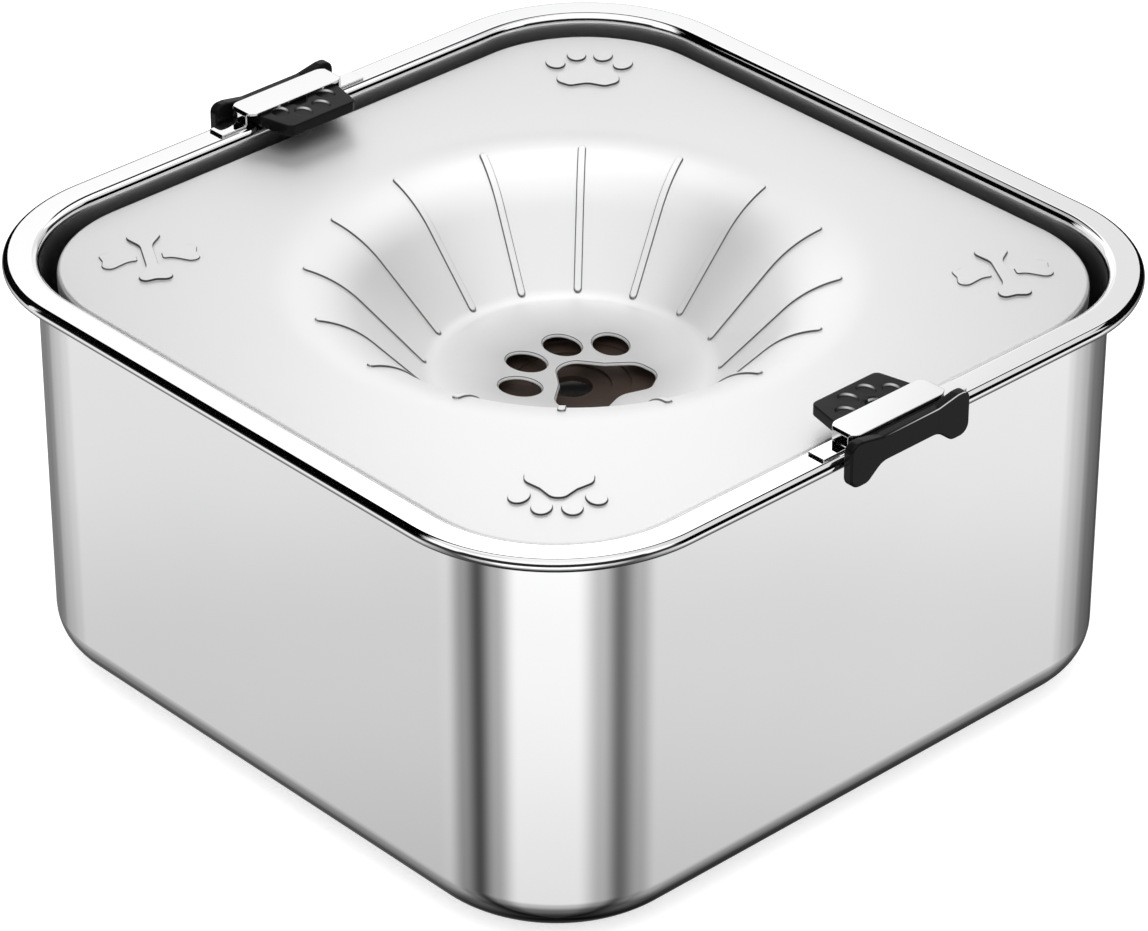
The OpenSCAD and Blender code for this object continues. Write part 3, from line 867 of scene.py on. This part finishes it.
def pressed_plate(form):
    """The plate in one sheet: dish, hem, water holes, marks and underside."""
    dish = grown(
        "dish", dish_sector(), pressed_round(), ribs=rib_count, seam=merge_gap, finish=soft_steel)
    hem = grown(
        "hem", section_line("hem_section", hem_section), carried_round,
        width=float_w * MM, corner_radius=plate_corner_r * MM, corner_steps=24, finish=soft_steel)
    form.from_mesh(dish)
    form.from_mesh(hem)
    edge_top, edge_under = open_loop(form, plate_z), open_loop(form, plate_z - plate_sheet)
    floor_round, lip_round = circle_of(form, dish_floor_r, dish_z), circle_of(form, lip_x, plate_z)
    tops, bottoms = zip(*[water_hole(form, placed(outline, turn=180)) for outline in paw()])
    filled(form, [floor_round, *tops])
    marks = [embossed(form, outline, plate_z, height, mark_flank) for outline, height in corner_marks()]
    filled(form, [edge_top, lip_round, *marks])
    fillet, lip = (dish_floor_r, dish_z + dish_fillet_r), (lip_x, plate_z - lip_r)
    lower = arc(fillet, dish_fillet_r + plate_sheet, -90, slope_degrees - 90, 6)
    lower += arc(lip, lip_r - plate_sheet, slope_degrees + 90, 90, 14)
    last_turn = 360 - 360 / under_steps
    rounds = [ring(form, arc((0, 0), r, 0, last_turn, under_steps - 1), z) for r, z in lower]
    walled(form, rounds)
    filled(form, [rounds[0], *bottoms])
    filled(form, [edge_under, rounds[-1]])


plate_mesh = solid_mesh("plate", pressed_plate)
dressed("satin_plate", shaded(plate_mesh, angle=40), soft_steel, "satin_steel", "float", "float_plate")

# Float tub and seals
# A dark brown moulding that closes the air space under the plate, with a ringed well under the water holes.
# Two grey rubber seals are squeezed between the tub and the plate.

brown_plastic = moulding(
    "brown_plastic", low=(0.031, 0.021, 0.016), high=(0.070, 0.047, 0.037), gloss=(0.55, 0.7),
    grain_scale=1500.0, depth=0.00004, specular=0.15)
finish_node("float_tub", brown_plastic)
seal_rubber = moulding(
    "seal_rubber", low=(0.17, 0.17, 0.17), high=(0.23, 0.23, 0.23), gloss=(0.6, 0.75), **rubber_grain)
for name in ("outer_seal", "inner_seal"):
    finish_node(name, seal_rubber)

# Studio
# A plain pale floor and a bright studio, with a dark gap at the horizon and dark flags at floor level,
# as polished steel is lit. The camera stands where the photograph was taken.

floor_half, floor_lift = 6, 0.5


def value(nodes, links, operation, *terms):
    """The result of a sum whose terms are numbers or sockets."""
    made = nodes.new("ShaderNodeMath")
    made.operation = operation
    for socket, term in zip(made.inputs, terms):
        if isinstance(term, (int, float)):
            socket.default_value = term
        else:
            links.new(term, socket)
    return made.outputs["Value"]


floor_mesh = bpy.data.meshes.new("floor")
floor_corners = [(floor_half * x, floor_half * y, 0) for x, y in ((-1, -1), (1, -1), (1, 1), (-1, 1))]
floor_mesh.from_pydata(floor_corners, [], [(0, 1, 2, 3)])
floor = added("floor", floor_mesh)
floor.visible_glossy = False
pale, nodes, links = new_finish("pale_floor")
shader = nodes["Principled BSDF"]
shader.inputs["Base Color"].default_value = (0.86, 0.86, 0.86, 1)
shader.inputs["Roughness"].default_value = 0.9
shader.inputs["Specular IOR Level"].default_value = 0.0
shader.inputs["Emission Color"].default_value = (1, 1, 1, 1)

# Where the camera sees it, the floor is lifted towards white.
seen = nodes.new("ShaderNodeLightPath")
lift = value(nodes, links, "MULTIPLY", seen.outputs["Is Camera Ray"], floor_lift)
links.new(lift, shader.inputs["Emission Strength"])
floor_mesh.materials.append(pale)

# Two small black flags beside the left and right corners are only mirrored, and draw the dark line of the
# rim's bead there. Each outline is given as distance along its side and height, in metres.
black_card, nodes, links = new_finish("black_card")
shader = nodes["Principled BSDF"]
shader.inputs["Base Color"].default_value = (0.002, 0.002, 0.002, 1)
shader.inputs["Specular IOR Level"].default_value = 0.0


def corner_flag(name, inner_end, inner_top, place):
    """A black card that only mirrors see."""
    outline = (
        (inner_end, 0.118), (0.180, 0.118), (0.180, 0.215),
        (0.105, 0.205), (0.085, 0.145), (inner_end, inner_top),
    )
    mesh = bpy.data.meshes.new(name)
    mesh.from_pydata([place(along, z) for along, z in outline], [], [tuple(range(len(outline)))])
    mesh.materials.append(black_card)
    made = added(name, mesh)
    made.visible_camera = made.visible_diffuse = made.visible_shadow = False


corner_flag("flag_left", inner_end=0.0, inner_top=0.133, place=lambda along, z: (-0.16, -along, z))
corner_flag("flag_right", inner_end=-0.06, inner_top=0.134, place=lambda along, z: (along, 0.16, z))


def tone_run(nodes, links, source, place, stops):
    """A run of grey tones along a value from 0 to 1; each stop is a number of degrees and its tone."""
    ramp = nodes.new("ShaderNodeValToRGB")
    ramp.color_ramp.interpolation = "EASE"
    marks = ramp.color_ramp.elements
    while len(marks) < len(stops):
        marks.new(0.5)
    for mark, (degrees, tone) in zip(marks, stops):
        mark.position = place(degrees)
        mark.color = (tone, tone, tone, 1)
    links.new(source, ramp.inputs["Fac"])
    return ramp.outputs["Color"]


def around(degrees):
    """A direction round the bowl, from -180 to 180, as a place from 0 to 1."""
    return degrees / 360 + 0.5


def above(degrees):
    """A height over the horizon as a place from 0 to 1."""
    return math.sin(math.radians(degrees)) / 2 + 0.5


def blended(nodes, links, kind, first, second):
    """Two runs of tone put together by a kind of blend."""
    blend = nodes.new("ShaderNodeMix")
    blend.data_type, blend.blend_type = "RGBA", kind
    blend.inputs["Factor"].default_value = 1.0
    links.new(first, blend.inputs["A"])
    links.new(second, blend.inputs["B"])
    return blend.outputs["Result"]


world = bpy.data.worlds.new("studio")
bpy.context.scene.world = world
world.use_nodes = True
nodes, links = world.node_tree.nodes, world.node_tree.links
way = nodes.new("ShaderNodeTexCoord")
parts = nodes.new("ShaderNodeSeparateXYZ")
links.new(way.outputs["Generated"], parts.inputs["Vector"])
turn = value(nodes, links, "ARCTAN2", parts.outputs["Y"], parts.outputs["X"])
turn = value(nodes, links, "ADD", value(nodes, links, "DIVIDE", turn, 2 * math.pi), 0.5)
height = value(nodes, links, "ADD", value(nodes, links, "DIVIDE", parts.outputs["Z"], 2), 0.5)
flags = tone_run(nodes, links, turn, around, (
    (-180, 0.255), (-172, 0.45), (-164, 0.525), (-152, 0.64), (-144, 0.75), (-130, 0.79), (-114, 0.36),
    (-101, 0.09), (-87, 0.5), (-70, 1.15), (-29, 1.15), (-10, 0.6), (4, 0.18), (20, 0.5), (36, 0.82),
    (48, 0.82), (55, 0.7), (62, 0.57), (76, 0.42), (82, 0.26), (89, 0.17), (104, 0.125), (116, 0.07),
    (130, 0.3), (142, 0.3), (155, 0.2), (170, 0.2), (180, 0.255),
))
ground = tone_run(nodes, links, height, above, (
    (-90, 0.02), (-62, 0.12), (-46, 0.45), (-37, 0.70), (-33.4, 0.90), (-31, 1.1), (-28, 1.2),
    (-10, 1.1), (-5, 0.04), (0, 0.0),
))
sky = tone_run(nodes, links, height, above, (
    (-6, 0.0), (-4, 0.03), (20, 0.03), (26, 1.05), (34, 1.2), (56, 1.2), (76, 1.0), (90, 1.0),
))
flagged_ground = blended(nodes, links, "MULTIPLY", flags, ground)
tone = blended(nodes, links, "ADD", flagged_ground, sky)


def reach(nodes, links, distance, half, soft):
    """A mask that is whole within half a width and fades out over a soft edge."""
    fade = nodes.new("ShaderNodeMapRange")
    fade.interpolation_type = "SMOOTHSTEP"
    fade.inputs["From Min"].default_value = half + soft / 2
    fade.inputs["From Max"].default_value = half - soft / 2
    links.new(distance, fade.inputs["Value"])
    return fade.outputs["Result"]


# Boards and black flags of the studio: middle and width round the bowl, lower and upper height, soft edge
# and tone, all in degrees but the tone. A later one stands before an earlier one.
boards = (
    (122, 48, 5, 25, 5, 1.0),
    (126, 14, 25, 35, 4, 0.87),
    (163, 34, -4, 26, 5, 1.15),
    (200, 40, -8, 26, 5, 0.9),
    (98, 20, -8, 24, 5, 0.60),
    (77, 84, 22, 72, 10, 0.80),
    (225, 60, 54, 78, 8, 0.80),
    (-45, 110, 34, 60, 6, 1.12),
    (156, 20, 37, 55, 4, 0.0),
    (182, 44, 39, 57, 4, 0.0),
    (209, 20, 31, 54, 4, 0.0),
    (221, 16, 20, 45, 4, 0.0),
    (229, 16, 6, 35, 4, 0.0),
    (37, 20, -9, 31, 4, 0.0),
    (-45, 110, 4, 34, 5, 0.02),
    (131, 54, 40, 56, 4, 0.0),
)
degrees_round = value(nodes, links, "MULTIPLY", turn, 360)
radians_up = value(nodes, links, "ARCSINE", parts.outputs["Z"])
degrees_up = value(nodes, links, "MULTIPLY", radians_up, 180 / math.pi)
for middle, width, lower, upper, soft, grey in boards:
    aside = value(nodes, links, "SUBTRACT", degrees_round, middle + 180)
    aside = value(nodes, links, "ABSOLUTE", value(nodes, links, "WRAP", aside, 180, -180))
    over = value(nodes, links, "SUBTRACT", degrees_up, (lower + upper) / 2)
    over = value(nodes, links, "ABSOLUTE", over)
    mask = value(nodes, links, "MULTIPLY", reach(nodes, links, aside, width / 2, soft),
                 reach(nodes, links, over, (upper - lower) / 2, soft))
    tone = mixed(nodes, links, mask, tone, second=(grey, grey, grey))

# Mirrors show the studio, and everything else is lit by plain white.
path = nodes.new("ShaderNodeLightPath")
choice = nodes.new("ShaderNodeMix")
choice.data_type = "RGBA"
links.new(path.outputs["Is Glossy Ray"], choice.inputs["Factor"])
choice.inputs["A"].default_value = (1, 1, 1, 1)
links.new(tone, choice.inputs["B"])
links.new(choice.outputs["Result"], nodes["Background"].inputs["Color"])
nodes["Background"].inputs["Strength"].default_value = 1.0


def aimed(made, at, aim):
    """Stands a lamp or the camera at a place and turns it towards another."""
    made.location = at
    made.rotation_euler = (Vector(aim) - Vector(at)).to_track_quat("-Z", "Y").to_euler()
    return made


def soft_box(name, at, aim, size, power):
    """A square lamp that the camera does not see."""
    lamp = bpy.data.lights.new(name, "AREA")
    lamp.shape, lamp.size, lamp.energy = "SQUARE", size, power
    made = aimed(added(name, lamp), at, aim)
    made.visible_camera = False
    return made


overhead = soft_box("overhead", at=(0.38, -0.36, 1.6), aim=(0, 0, 0.1), size=1.0, power=3.0)
overhead.visible_glossy = False
soft_box("back", at=(-0.085, 0.085, 0.31), aim=(0.08, -0.08, 0.128), size=0.16, power=0.044)

camera = bpy.data.cameras.new("camera")
camera.sensor_width, camera.lens = 36.0, 166.6
bpy.context.scene.camera = aimed(
    added("camera", camera), at=(0.965, -0.893, 0.865), aim=(0.0008, 0.0, 0.0606))
bpy.context.scene.view_settings.view_transform = "Standard"
